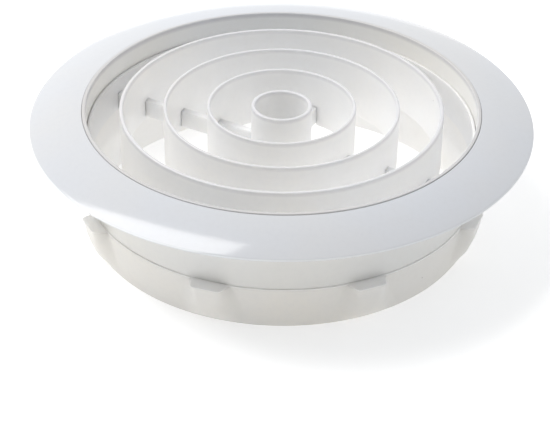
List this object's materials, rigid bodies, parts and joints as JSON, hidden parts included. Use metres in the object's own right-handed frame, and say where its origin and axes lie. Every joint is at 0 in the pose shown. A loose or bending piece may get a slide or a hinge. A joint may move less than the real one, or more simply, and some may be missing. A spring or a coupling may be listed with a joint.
{
  "type": "ceiling air diffuser",
  "caption": "Round white ceiling air diffuser: a wide sloped face flange round concentric vane rings on crossed bars, with a duct collar that has ramp lugs behind it.",
  "frame": {"origin": "on the diffuser's axis, in the plane of the duct collar's foot", "axes": "+Z along the diffuser's axis towards the room, so the face with the rings looks along +Z; the crossed bars lie at 45 and 135 degrees from +X"},
  "size_m": [0.2, 0.2, 0.0515],
  "materials": {
    "flange_plastic": "glossy moulded white, faintly cool",
    "neck_plastic": "satin moulded white",
    "vane_plastic": "satin moulded white",
    "bar_plastic": "satin moulded white",
    "collar_plastic": "satin moulded white, faintly warm"
  },
  "bodies": {
    "root": {"face_flange": "flange_plastic", "neck_tube": "neck_plastic", "core_outer_ring": "vane_plastic", "vane_ring_1": "vane_plastic", "vane_ring_2": "vane_plastic", "vane_ring_3": "vane_plastic", "vane_ring_4": "vane_plastic", "cross_bar_lower": "bar_plastic", "cross_bar_upper": "bar_plastic", "duct_collar": "collar_plastic"}
  },
  "joints": []
}
